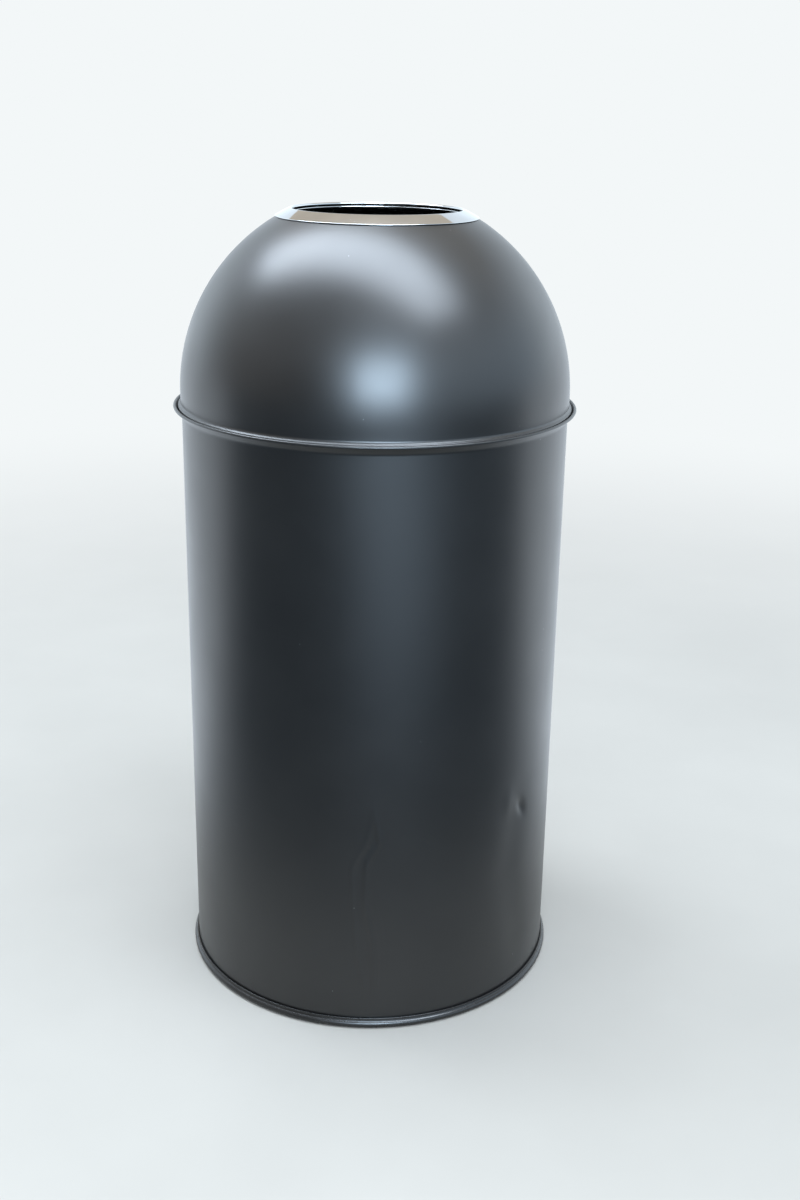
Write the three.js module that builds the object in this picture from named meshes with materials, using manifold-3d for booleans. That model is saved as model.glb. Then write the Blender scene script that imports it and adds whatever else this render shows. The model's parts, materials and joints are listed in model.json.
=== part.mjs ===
// Dome-top waste receptacle: a rolled steel body, a lift-off hemispherical dome with a bright ring round its
// open mouth, and a galvanised liner with a swinging bail inside.
// Millimetres, +Z up. The origin is the centre of the footprint, on the floor.

import * as THREE from "three";
import { mergeVertices } from "three/addons/utils/BufferGeometryUtils.js";
import Module from "manifold-3d";

// ---- Driving sizes ------------------------------------------------------------------------------

const facets = 36; // round the axis
const smallFacets = 12; // round a rivet or a drilled hole
const wireSides = 8;
const bendStep = 45; // degrees of a sheet bend for each straight facet
const wireBendStep = 30;
const domeStep = 7.5; // degrees of the hemisphere's outline
const hoopStep = 5; // degrees of the bail's hoop

const seatGap = 0.3; // between faces that touch on the real bin
const steel = 0.8; // sheet of the body, the base and the dome

// Body: a cylinder whose top edge flares out to a beaded lip, with a welded lap seam at the back.
const bodyRadius = 185;
const rimTop = 579.8;
const rimReach = 8; // out of the body
const rimBeadRadius = 1.5; // outside of the bead's section
const rimBeadTurn = 240; // degrees that the sheet turns
const rimFlare = 37; // degrees off the upright
const rimFlareBend = 6;
const seamWidth = 8;
const seamSteel = 1.6; // two sheets, mashed together
const seamFoot = 18; // the weld starts above the base

// Base: a pressed pan with its skirt inside the body, both standing in the floor ring.
const panLedge = 14.8; // top of the ledge that the liner stands on
const panBend = 3;
const panRecess = 4;
const panRecessSlope = 6;
const panLedgeSpare = 6.5; // ledge left inside the liner's foot

// Floor ring: soft black plastic, pushed on from below.
const ringPad = 2.7; // under the sheet edges
const ringBulge = 3.6; // radius of the half-round
const ringBulgeTurn = 70; // degrees above the level at which the half-round meets the lip
const ringReach = 4.5; // out of the body
const ringLipHeight = 10.3;
const ringLip = 1.7;
const ringLipBevel = 0.6;
const ringInnerLipHeight = 8.5;
const ringInnerLip = 1.8;

// Dome: a hemisphere on a short skirt, its foot rolled under and standing inside the body's flare.
const domeOverhang = 1; // dome radius over body radius
const domeRise = 11.55; // hemisphere's centre above the rim
const footReach = 2.7; // out of the dome
const footRollRadius = 2; // outside of the roll's section
const footRollTurn = 220;
const footFillet = 60; // degrees that the skirt turns out before its roll
const mouthMargin = 3.4; // dome's cut edge to the outside of the trim's neck

// Collar: a joggled strip welded inside the skirt, which drops into the body and keeps the dome centred.
const collarSlip = 1.6; // clearance to the body
const collarDepth = 28.8; // below the rim
const collarTop = 11; // stretch welded to the skirt
const collarJoggle = 5.5; // height of the step between its two radii
const collarLeadIn = 1.2;
const collarLeadHeight = 5;

// Trim ring and the clamp ring that its tabs are bent over.
const openingRadius = 78.8;
const trimWidth = 15.2; // mouth to outer edge, seen from above
const trimSteel = 0.8;
const trimEdge = 1.8; // outside radius where the face turns into the neck
const clampThickness = 2.5;
const clampWidth = 11;
const clampSlip = 0.8; // to the neck
const tabCount = 12;
const tabGap = 5;
const tabReach = 6; // beyond the neck
const tabBend = 1.2; // inside radius

// Liner: a galvanised bucket, its rim rolled over a wire.
const linerRoom = 22.2; // liner to the inside of the body
const linerDrop = 35.7; // its rim below the body's
const linerSteel = 0.8;
const linerTaper = 3.5; // off the radius, at the foot
const linerBand = 64; // straight stretch below the rim
const linerFootLip = 3.6; // turned in under the bottom
const linerBeads = 2; // swaged round the wall, evenly up its taper
const linerBeadRise = 1.6;
const linerBeadWidth = 12;
const rimWireRadius = 2;
const linerRollTurn = 310;
const linerSeamWidth = 9;
const linerSeamAngle = -60; // degrees from +X
const bottomLift = 8.5; // bottom panel above the foot
const bottomBend = 2;

// Bail and the two ears that it turns in.
const pivotDrop = 22; // below the liner's rim
const bailWireRadius = 2.25;
const bailRoom = 12; // hoop centreline to the liner
const bailCorner = 3.8; // centreline radius where the hoop turns into its pivot
const hookBend = 2.6;
const hookLength = 4.6;
const earSteel = 1.2;
const earHeight = 22;
const earStandOff = 6; // clear space behind the bridge
const earBridge = 22; // clear width of the bridge
const earShoulder = 3; // width of the slope from bridge to foot
const earFoot = 12;
const pivotSlip = 0.45;
const drillReach = 4; // to each side of the sheet
const rivetRadius = 2.1;
const rivetSlip = 0.3;
const rivetHeadRadius = 4.2;
const rivetHeadHeight = 2;
const rivetTailRadius = 3.4;
const rivetTailHeight = 1.2;

// ---- Finishes -----------------------------------------------------------------------------------

const powderCoat = new THREE.MeshStandardMaterial({ color: 0x1c1f21, roughness: 0.42, metalness: 0.1 });
const softPlastic = new THREE.MeshStandardMaterial({ color: 0x17181a, roughness: 0.5, metalness: 0 });
const brightSteel = new THREE.MeshStandardMaterial({ color: 0xd6d8da, roughness: 0.06, metalness: 1 });
const galvanised = new THREE.MeshStandardMaterial({ color: 0x9ba1a4, roughness: 0.45, metalness: 0.9 });
const zincWire = new THREE.MeshStandardMaterial({ color: 0xa7abae, roughness: 0.35, metalness: 0.95 });

// ---- Outlines: lists of Vector2, radius and height (or plan x and y) ----------------------------

const radians = THREE.MathUtils.degToRad;
const point = (x, y) => new THREE.Vector2(x, y);

// Points along an arc, ends included, no further apart than a step in degrees.
function arc(centre, radius, fromDegrees, toDegrees, step = bendStep) {
  const steps = Math.ceil(Math.abs(toDegrees - fromDegrees) / step);
  return Array.from({ length: steps + 1 }, (_, i) => {
    const angle = radians(fromDegrees + ((toDegrees - fromDegrees) * i) / steps);
    return point(centre.x + radius * Math.cos(angle), centre.y + radius * Math.sin(angle));
  });
}

// Height above its centre of a sphere at a distance from its axis.
const sphereHeight = (sphereRadius, distance) => Math.sqrt(sphereRadius ** 2 - distance ** 2);

// Points along a sphere's outline about the dome's centre, between two distances from the axis.
function domeArc(sphereRadius, fromDistance, toDistance) {
  const elevation = (distance) => THREE.MathUtils.radToDeg(Math.acos(distance / sphereRadius));
  return arc(domeCentre, sphereRadius, elevation(fromDistance), elevation(toDistance), domeStep);
}

const bluntestMitre = 0.5; // cosine of half the sharpest turn that keeps its full thickness

// The closed outline of a sheet bent along a middle line.
function sheet(line, thickness) {
  const sides = line.map((here, i) => {
    const before = line[Math.max(i - 1, 0)];
    const after = line[Math.min(i + 1, line.length - 1)];
    const into = here.clone().sub(before).normalize();
    const outOf = after.clone().sub(here).normalize();
    const along = into.clone().add(outOf).normalize();
    const widen = i === 0 || i === line.length - 1 ? 1 : 1 / Math.max(along.dot(into), bluntestMitre);
    return point(-along.y, along.x).multiplyScalar((thickness / 2) * widen);
  });
  const left = line.map((here, i) => here.clone().add(sides[i]));
  const right = line.map((here, i) => here.clone().sub(sides[i]));
  return [...left, ...right.reverse()];
}

// ---- Solids -------------------------------------------------------------------------------------

const wasm = await Module();
wasm.setup();
const weldDistance = 1e-4;

// Revolves a closed outline about Z.
function revolve(outline, around = facets) {
  const anticlockwise = THREE.ShapeUtils.isClockWise(outline) ? [...outline].reverse() : outline;
  const loop = [...anticlockwise, anticlockwise[0]];
  return new THREE.LatheGeometry(loop, around).rotateX(Math.PI / 2);
}

// Extrudes a closed plan outline up Z.
const extrude = (outline, height) =>
  new THREE.ExtrudeGeometry(new THREE.Shape(outline), { depth: height, bevelEnabled: false });

// A cylinder along X, centred at a distance from the axis and turned about Z.
const radialRod = (radius, length, distance, degrees, height) =>
  new THREE.CylinderGeometry(radius, radius, length, smallFacets)
    .rotateZ(Math.PI / 2)
    .translate(distance, 0, 0)
    .rotateZ(radians(degrees))
    .translate(0, 0, height);

// A slab that stands on a radius at an angle, its outline in distance from the axis and height.
const radialSlab = (outline, width, degrees) =>
  extrude(outline, width)
    .rotateX(Math.PI / 2)
    .translate(0, width / 2, 0)
    .rotateZ(radians(degrees));

function toSolid(geometry) {
  const bare = geometry.clone();
  bare.deleteAttribute("normal");
  bare.deleteAttribute("uv");
  const merged = mergeVertices(bare, weldDistance);
  const vertProperties = new Float32Array(merged.attributes.position.array);
  const triVerts = new Uint32Array(merged.index.array);
  return new wasm.Manifold(new wasm.Mesh({ numProp: 3, vertProperties, triVerts }));
}

function toGeometry(solid) {
  const mesh = solid.getMesh();
  const geometry = new THREE.BufferGeometry();
  geometry.setAttribute("position", new THREE.BufferAttribute(mesh.vertProperties, 3));
  geometry.setIndex(new THREE.BufferAttribute(mesh.triVerts, 1));
  return geometry;
}

const cut = (geometry, tools) =>
  toGeometry(tools.reduce((left, tool) => left.subtract(toSolid(tool)), toSolid(geometry)));

// A sheet shell with a seam: the same shell thicker, kept only inside a narrow slab.
function seamed(line, thickness, seam) {
  const { reach, foot, top } = seam;
  const side = [point(0, foot), point(reach, foot), point(reach, top), point(0, top)];
  const slab = toSolid(radialSlab(side, seam.width, seam.degrees));
  const strip = toSolid(revolve(sheet(line, seam.thickness))).intersect(slab);
  return toSolid(revolve(sheet(line, thickness))).add(strip);
}

// ---- Body ---------------------------------------------------------------------------------------

const bodyInside = bodyRadius - steel;
const bodyMiddle = bodyRadius - steel / 2;
const sheetFoot = ringPad + seatGap; // lower edge of the body and of the pan's skirt
const rimBeadCentre = point(bodyRadius + rimReach - rimBeadRadius, rimTop - rimBeadRadius);
const flareAngle = radians(rimFlare);
const rimBead = arc(rimBeadCentre, rimBeadRadius - steel / 2, 180 - rimFlare, 180 - rimFlare - rimBeadTurn);
// Height at which the flare would meet the wall if its bend were sharp.
const flareFoot = rimBead[0].y - (rimBead[0].x - bodyMiddle) / Math.tan(flareAngle);
const flareBend = point(bodyMiddle + rimFlareBend, flareFoot - rimFlareBend * Math.tan(flareAngle / 2));

function bodyShell() {
  const line = [
    point(bodyMiddle, sheetFoot),
    ...arc(flareBend, rimFlareBend, 180, 180 - rimFlare, rimFlare / 2),
    ...rimBead,
  ];
  const seam = {
    reach: bodyRadius + seamSteel,
    width: seamWidth,
    thickness: seamSteel,
    foot: seamFoot,
    top: flareBend.y,
    degrees: 90,
  };
  return toGeometry(seamed(line, steel, seam));
}

const panSkirtMiddle = bodyInside - seatGap - steel / 2;

function basePan() {
  const ledgeMiddle = panLedge - steel / 2;
  const bendCentre = point(panSkirtMiddle - panBend, ledgeMiddle - panBend);
  const recessEdge = linerFootMiddle - linerFootLip - panLedgeSpare;
  const line = [
    point(panSkirtMiddle, sheetFoot),
    ...arc(bendCentre, panBend, 0, 90),
    point(recessEdge, ledgeMiddle),
    point(recessEdge - panRecessSlope, ledgeMiddle - panRecess),
    point(0, ledgeMiddle - panRecess),
  ];
  return revolve(sheet(line, steel));
}

function floorRing() {
  const slotOuter = bodyRadius + seatGap;
  const slotInner = panSkirtMiddle - steel / 2 - seatGap;
  const lipOuter = slotOuter + ringLip;
  const inner = slotInner - ringInnerLip;
  const bulgeCentre = point(bodyRadius + ringReach - ringBulge, ringBulge);
  return revolve([
    point(inner, 0),
    ...arc(bulgeCentre, ringBulge, -90, ringBulgeTurn),
    point(lipOuter, ringLipHeight - ringLipBevel),
    point(lipOuter - ringLipBevel, ringLipHeight),
    point(slotOuter, ringLipHeight),
    point(slotOuter, ringPad),
    point(slotInner, ringPad),
    point(slotInner, ringInnerLipHeight),
    point(inner, ringInnerLipHeight),
  ]);
}

// ---- Dome ---------------------------------------------------------------------------------------

const domeRadius = bodyRadius + domeOverhang;
const domeInside = domeRadius - steel;
const domeMiddle = domeRadius - steel / 2;
const domeCentre = point(0, rimTop + domeRise);
const neckOutside = openingRadius + trimSteel;
const mouthRadius = neckOutside + mouthMargin;
const trimOuter = openingRadius + trimWidth;

// The foot's roll rests on the inside of the flare.
const footRollDistance = domeRadius + footReach - footRollRadius;
const footRollOffset = (footRollDistance - bodyMiddle) * Math.cos(flareAngle);
const footRollSeat = footRollRadius + seatGap + steel / 2 + footRollOffset;
const footRollCentre = point(footRollDistance, flareFoot + footRollSeat / Math.sin(flareAngle));

function domeShell() {
  const roll = arc(footRollCentre, footRollRadius - steel / 2, footFillet, footFillet - footRollTurn);
  const filletTurn = radians(footFillet);
  const filletRadius = (roll[0].x - domeMiddle) / (1 - Math.cos(filletTurn));
  const filletCentre = point(domeMiddle + filletRadius, roll[0].y + filletRadius * Math.sin(filletTurn));
  const line = [
    ...domeArc(domeMiddle, mouthRadius, trimOuter),
    ...domeArc(domeMiddle, trimOuter, domeMiddle).slice(1),
    ...arc(filletCentre, filletRadius, 180, 180 + footFillet, footFillet / 2),
    ...roll.slice(1),
  ];
  return revolve(sheet(line, steel));
}

function domeCollar() {
  const upperMiddle = domeInside - seatGap - steel / 2;
  const lowerMiddle = bodyInside - collarSlip - steel / 2;
  const top = domeCentre.y - seatGap;
  const foot = rimTop - collarDepth;
  const line = [
    point(upperMiddle, top),
    point(upperMiddle, top - collarTop),
    point(lowerMiddle, top - collarTop - collarJoggle),
    point(lowerMiddle, foot + collarLeadHeight),
    point(lowerMiddle - collarLeadIn, foot),
  ];
  return revolve(sheet(line, steel));
}

// The trim, dome edge, clamp ring and tabs are nested spheres about the dome's centre, from the outside in.
const trimMiddle = domeRadius + seatGap + trimSteel / 2;
const clampOuter = domeInside - seatGap;
const clampInner = clampOuter - clampThickness;
const tabMiddle = clampInner - seatGap - trimSteel / 2;

function trimRing() {
  const neckMiddle = openingRadius + trimSteel / 2;
  const edgeRadius = trimEdge - trimSteel / 2;
  const edgeDistance = trimMiddle - edgeRadius;
  const edgeCentre = point(neckMiddle + edgeRadius, 0);
  edgeCentre.y = domeCentre.y + sphereHeight(edgeDistance, edgeCentre.x);
  const edgeStart = THREE.MathUtils.radToDeg(Math.acos(edgeCentre.x / edgeDistance));
  const bendRadius = tabBend + trimSteel / 2;
  const bendDistance = tabMiddle + bendRadius;
  const bendCentre = point(neckMiddle + bendRadius, 0);
  bendCentre.y = domeCentre.y + sphereHeight(bendDistance, bendCentre.x);
  const bendEnd = 180 + THREE.MathUtils.radToDeg(Math.acos(bendCentre.x / bendDistance));
  const tabStart = (tabMiddle / bendDistance) * bendCentre.x;
  const line = [
    ...domeArc(trimMiddle, trimOuter, (trimMiddle / edgeDistance) * edgeCentre.x),
    ...arc(edgeCentre, edgeRadius, edgeStart, 180).slice(1),
    ...arc(bendCentre, bendRadius, 180, bendEnd),
    ...domeArc(tabMiddle, tabStart, neckOutside + tabReach).slice(1),
  ];
  // The gaps are cut from the tabs' ends up to their bend, and stay below the clamp ring.
  const gapReach = neckOutside + tabReach + trimSteel;
  const gapFoot = line.at(-1).y - 2 * trimSteel;
  const gap = [
    point(tabStart, gapFoot),
    point(gapReach, gapFoot),
    ...domeArc(clampInner, gapReach, tabStart),
  ];
  const gaps = Array.from({ length: tabCount }, (_, i) =>
    radialSlab(gap, tabGap, ((i + 0.5) * 360) / tabCount),
  );
  return cut(revolve(sheet(line, trimSteel)), gaps);
}

function trimClampRing() {
  const inner = neckOutside + clampSlip;
  const outer = inner + clampWidth;
  return revolve([...domeArc(clampOuter, inner, outer), ...domeArc(clampInner, outer, inner)]);
}

// ---- Liner --------------------------------------------------------------------------------------

const linerRadius = bodyInside - linerRoom;
const linerMiddle = linerRadius - linerSteel / 2;
const linerRollMiddle = rimWireRadius + seatGap + linerSteel / 2;
const linerRimTop = rimTop - linerDrop;
const linerRollCentre = point(linerMiddle + linerRollMiddle, linerRimTop - linerRollMiddle - linerSteel / 2);
const linerFoot = panLedge + seatGap;
const linerFootMiddle = linerMiddle - linerTaper;
const linerClimb = linerRollCentre.y - linerBand - linerFoot; // height of the tapered stretch
const linerMiddleAt = (height) => linerFootMiddle + (linerTaper * (height - linerFoot)) / linerClimb;
const pivotHeight = linerRimTop - pivotDrop;

// Distance of a facet's middle from the axis, over that of its corners.
const facetMiddle = Math.cos(Math.PI / facets);

// The ear's rivets, as angles from the ear's middle.
const earFace = linerRadius + seatGap; // the feet lie on the liner
const earFeetAngle = THREE.MathUtils.radToDeg(Math.asin((earBridge / 2 + earShoulder) / earFace));
const earFootAngle = THREE.MathUtils.radToDeg(earFoot / earFace);
const rivetAngle = earFeetAngle + earFootAngle / 2;
const rivetHoles = (degrees) =>
  [-rivetAngle, rivetAngle].map((offset) =>
    radialRod(rivetRadius + rivetSlip, 2 * drillReach, earFace, degrees + offset, pivotHeight),
  );

// A swaged bead: the wall leans out to its crest and back.
function linerBead(index) {
  const crest = linerFoot + (linerClimb * (index + 1)) / (linerBeads + 1);
  const half = linerBeadWidth / 2;
  return [
    point(linerMiddleAt(crest - half), crest - half),
    point(linerMiddleAt(crest) + linerBeadRise, crest),
    point(linerMiddleAt(crest + half), crest + half),
  ];
}

function linerWall() {
  const footHeight = linerFoot + linerSteel / 2;
  const line = [
    point(linerFootMiddle - linerFootLip, footHeight),
    point(linerFootMiddle, footHeight),
    ...Array.from({ length: linerBeads }, (_, i) => linerBead(i)).flat(),
    point(linerMiddle, linerRollCentre.y - linerBand),
    ...arc(linerRollCentre, linerRollMiddle, 180, 180 - linerRollTurn),
  ];
  const seam = {
    reach: linerRadius + linerSteel,
    width: linerSeamWidth,
    thickness: 2 * linerSteel,
    foot: linerFoot + bottomLift + linerSteel,
    top: linerRollCentre.y - linerRollMiddle - 2 * linerSteel,
    degrees: linerSeamAngle,
  };
  const wall = toGeometry(seamed(line, linerSteel, seam));
  return cut(wall, [...rivetHoles(0), ...rivetHoles(180)]);
}

function linerBottom() {
  const skirtFoot = linerFoot + linerSteel + seatGap;
  const panel = linerFoot + bottomLift;
  const insideAt = (height) => linerMiddleAt(height) - linerSteel - seatGap;
  const bendCentre = point(insideAt(panel) - bottomBend, panel - bottomBend);
  const line = [
    point(insideAt(skirtFoot), skirtFoot),
    ...arc(bendCentre, bottomBend, 0, 90),
    point(0, panel),
  ];
  return revolve(sheet(line, linerSteel));
}

function linerRimWire() {
  const wire = new THREE.TorusGeometry(linerRollCentre.x, rimWireRadius, wireSides, facets);
  return wire.translate(0, 0, linerRollCentre.y);
}

// ---- Ears, rivets and bail ----------------------------------------------------------------------

// Plan of an ear at +X: two feet that follow the liner, and a bridge that stands off it.
function bailEar(degrees) {
  const footMiddle = earFace + earSteel / 2;
  const bridgeMiddle = earFace + earStandOff + earSteel / 2;
  const halfBridge = earBridge / 2 + earSteel / 2;
  const footStart = -earFeetAngle - earFootAngle;
  const half = [
    ...arc(point(0, 0), footMiddle, footStart, -earFeetAngle, earFootAngle / 2),
    point(bridgeMiddle - earSteel, -halfBridge),
    point(bridgeMiddle, -halfBridge + earSteel),
  ];
  const mirrored = half.map((p) => point(p.x, -p.y)).reverse();
  const strap = extrude(sheet([...half, ...mirrored], earSteel), earHeight)
    .translate(0, 0, pivotHeight - earHeight / 2)
    .rotateZ(radians(degrees));
  const holeRadius = bailWireRadius + pivotSlip;
  const pivotHole = radialRod(holeRadius, 2 * drillReach, bridgeMiddle, degrees, pivotHeight);
  return cut(strap, [pivotHole, ...rivetHoles(degrees)]);
}

// A rivet along X: domed head outside the ear's foot, tail spread inside the liner.
function earRivet(degrees) {
  const headSeat = earFace + earSteel + seatGap;
  const tailSeat = (linerRadius - linerSteel) * facetMiddle - seatGap;
  const crown = arc(point(0, 0), 1, 0, 90);
  const outline = [
    point(0, tailSeat - rivetTailHeight),
    point(rivetTailRadius, tailSeat - rivetTailHeight),
    point(rivetTailRadius, tailSeat),
    point(rivetRadius, tailSeat),
    point(rivetRadius, headSeat),
    ...crown.map((p) => point(p.x * rivetHeadRadius, headSeat + p.y * rivetHeadHeight)),
  ];
  return revolve(outline, smallFacets)
    .rotateY(Math.PI / 2)
    .rotateZ(radians(degrees))
    .translate(0, 0, pivotHeight);
}

// A wire's centreline with a ring at each of its points, so that tight bends get as many rings as they need.
class WirePath extends THREE.Curve {
  constructor(points) {
    super();
    this.points = points.map((p) => new THREE.Vector3(p.x, p.y, 0));
  }
  getPoint(t) {
    const last = this.points.length - 1;
    const i = Math.min(Math.floor(t * last + 1e-9), last - 1);
    return this.points[i].clone().lerp(this.points[i + 1], t * last - i);
  }
  getPointAt(t) {
    return this.getPoint(t);
  }
  getTangentAt(t) {
    const step = 0.5 / (this.points.length - 1);
    const ahead = this.getPoint(Math.min(t + step, 1));
    return ahead.sub(this.getPoint(Math.max(t - step, 0))).normalize();
  }
}

const bailRadius = linerRadius + bailRoom;

// The bail's angle below the horizontal where its hoop meets the liner's wall.
function bailHang() {
  const clear = linerRadius + seatGap + bailWireRadius;
  return Math.acos(clear / bailRadius);
}

// Half of the bail lies in the plan quarter x > 0, y > 0: hook tip, pivot, corner, then the hoop.
function bailHandle() {
  const corner = point(bailRadius - bailCorner, bailCorner);
  const bridgeFace = earFace + earStandOff;
  const hookCentre = point(bridgeFace, hookBend);
  const hookX = bridgeFace - hookBend;
  const hoopStart = THREE.MathUtils.radToDeg(Math.asin(bailCorner / bailRadius));
  const half = [
    point(hookX, hookBend + hookLength),
    ...arc(hookCentre, hookBend, 180, 270, wireBendStep),
    ...arc(corner, bailCorner, -90, 0, wireBendStep),
    ...arc(point(0, 0), bailRadius, hoopStart, 90, hoopStep).slice(1),
  ];
  const other = half.slice(0, -1).map((p) => point(-p.x, p.y)).reverse();
  const points = [...half, ...other];
  const side = 360 / wireSides;
  const section = new THREE.Shape(arc(point(0, 0), bailWireRadius, 0, 360 - side, side));
  const extrudePath = new WirePath(points);
  return new THREE.ExtrudeGeometry(section, { steps: points.length - 1, extrudePath });
}

// ---- Assembly -----------------------------------------------------------------------------------

function mesh(name, geometry, material) {
  const made = new THREE.Mesh(geometry, material);
  made.name = name;
  return made;
}

function assembly(...children) {
  const group = new THREE.Group();
  group.add(...children);
  return group;
}

const body = assembly(
  mesh("body_shell", bodyShell(), powderCoat),
  mesh("base_pan", basePan(), powderCoat),
  mesh("floor_ring", floorRing(), softPlastic),
);

const dome = assembly(
  mesh("dome_shell", domeShell(), powderCoat),
  mesh("dome_collar", domeCollar(), powderCoat),
  mesh("trim_ring", trimRing(), brightSteel),
  mesh("trim_clamp_ring", trimClampRing(), softPlastic),
);

// The bail hangs down behind the liner, turned about the line through its ears.
const bail = mesh("bail_handle", bailHandle(), zincWire);
bail.rotation.x = -bailHang();
bail.position.z = pivotHeight;

const liner = assembly(
  mesh("liner_wall", linerWall(), galvanised),
  mesh("liner_bottom", linerBottom(), galvanised),
  mesh("liner_rim_wire", linerRimWire(), zincWire),
  mesh("bail_ear_right", bailEar(0), galvanised),
  mesh("bail_ear_left", bailEar(180), galvanised),
  mesh("ear_rivet_right_front", earRivet(-rivetAngle), zincWire),
  mesh("ear_rivet_right_back", earRivet(rivetAngle), zincWire),
  mesh("ear_rivet_left_front", earRivet(180 + rivetAngle), zincWire),
  mesh("ear_rivet_left_back", earRivet(180 - rivetAngle), zincWire),
  bail,
);

export default assembly(body, dome, liner);
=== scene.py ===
"""A dome-top waste receptacle in satin black powder coat, on a pale floor. Metres, seen from -Y."""
import json
import math

import bmesh
import bpy
import numpy as np
from mathutils import Matrix, Vector

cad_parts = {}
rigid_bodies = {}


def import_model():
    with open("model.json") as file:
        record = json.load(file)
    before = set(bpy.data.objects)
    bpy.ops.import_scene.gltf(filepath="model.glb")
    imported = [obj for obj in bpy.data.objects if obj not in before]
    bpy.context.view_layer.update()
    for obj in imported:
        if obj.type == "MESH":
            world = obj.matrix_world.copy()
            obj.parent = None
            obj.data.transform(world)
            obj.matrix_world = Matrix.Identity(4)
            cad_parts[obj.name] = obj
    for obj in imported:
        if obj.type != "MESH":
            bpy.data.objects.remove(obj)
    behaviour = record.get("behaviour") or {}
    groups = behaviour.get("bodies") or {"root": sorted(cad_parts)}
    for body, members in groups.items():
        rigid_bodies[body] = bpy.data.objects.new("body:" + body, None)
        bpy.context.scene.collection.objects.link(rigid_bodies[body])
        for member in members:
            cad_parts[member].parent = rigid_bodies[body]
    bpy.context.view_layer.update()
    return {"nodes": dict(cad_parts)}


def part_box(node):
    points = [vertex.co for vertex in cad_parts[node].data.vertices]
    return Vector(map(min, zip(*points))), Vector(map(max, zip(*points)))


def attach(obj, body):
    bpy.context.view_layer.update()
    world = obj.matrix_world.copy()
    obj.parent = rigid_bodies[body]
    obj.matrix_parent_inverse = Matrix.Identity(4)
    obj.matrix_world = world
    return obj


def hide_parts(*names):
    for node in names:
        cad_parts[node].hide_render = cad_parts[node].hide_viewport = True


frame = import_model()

# ---- Sizes: sheet and clearances as the maker sets them, places from the frame ----------------------------

MM = 0.001
SEAT_GAP = 0.3 * MM  # between faces that touch on the real bin
STEEL = 0.8 * MM  # sheet of the body, base, dome, trim and liner

RIM_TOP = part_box("body_shell")[1].z
RIM_REACH = 8 * MM  # lip out of the body
RIM_BEAD = 1.5 * MM  # outside radius of the lip's bead
RIM_BEAD_TURN = 240  # degrees that the sheet turns
RIM_FLARE = 37  # degrees off the upright
RIM_FLARE_BEND = 6 * MM
BODY_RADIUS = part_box("body_shell")[1].x - RIM_REACH
SHEET_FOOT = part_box("body_shell")[0].z
SEAM_WIDTH = 8 * MM
SEAM_RISE = 0.4 * MM
SEAM_FOOT = 18 * MM
SEAM_SLOPE = 0.6 * MM  # over which each edge of the seam steps
SEAM_FADE = 6 * MM  # over which a seam fades out at its ends

PAN_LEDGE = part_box("base_pan")[1].z
PAN_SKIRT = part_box("base_pan")[1].x
PAN_BEND = 3 * MM
PAN_RECESS = 4 * MM
PAN_RECESS_SLOPE = 6 * MM
PAN_LEDGE_SPARE = 6.5 * MM

RING_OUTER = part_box("floor_ring")[1].x
RING_LIP_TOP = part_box("floor_ring")[1].z
RING_BULGE = 3.6 * MM
RING_PAD = 2.7 * MM
RING_LIP = 1.7 * MM
RING_INNER_LIP = 1.8 * MM
RING_INNER_TOP = 8.5 * MM
RING_BULGE_TURN = 62  # degrees above the level at which the half-round meets the lip
RING_EDGE = 0.35 * MM  # rounding of the moulded edges
RING_FLAT = 2 * MM  # of the underside, where the outline starts

DOME_OVERHANG = 1 * MM  # dome's radius over the body's
DOME_RISE = 11.55 * MM  # hemisphere's centre above the rim
DOME_RADIUS = BODY_RADIUS + DOME_OVERHANG
DOME_CENTRE = RIM_TOP + DOME_RISE
FOOT_REACH = 2.7 * MM
FOOT_ROLL = 2 * MM  # outside radius of the roll at the skirt's foot
FOOT_ROLL_TURN = 220  # degrees that the roll turns
FOOT_FILLET = 60  # degrees that the skirt turns out before its roll

COLLAR_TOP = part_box("dome_collar")[1].z
COLLAR_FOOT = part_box("dome_collar")[0].z
COLLAR_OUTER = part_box("dome_collar")[1].x
COLLAR_SLIP = 1.6 * MM
COLLAR_UPPER = 11 * MM
COLLAR_JOGGLE = 5.5 * MM
COLLAR_LEAD = 1.2 * MM
COLLAR_LEAD_HEIGHT = 5 * MM
COLLAR_BEND = 2 * MM

OPENING_RADIUS = 78.8 * MM
TRIM_WIDTH = 15.2 * MM
TRIM_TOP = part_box("trim_ring")[1].z
TRIM_EDGE = 1.8 * MM
TRIM_TABS = 12
TRIM_TAB_GAP = 5 * MM
TRIM_TAB_REACH = 6 * MM
TRIM_TAB_BEND = 1.2 * MM
NECK_LINE_RISE = 0.02 * MM  # of the fine lines rolled round the neck
NECK_LINE_PITCH = 1.3 * MM
NECK_LINE_HALF_WIDTH = 0.4 * MM
MOUTH_MARGIN = 3.4 * MM
CLAMP_THICKNESS = 2.5 * MM
CLAMP_WIDTH = 11 * MM
CLAMP_SLIP = 0.8 * MM

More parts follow.
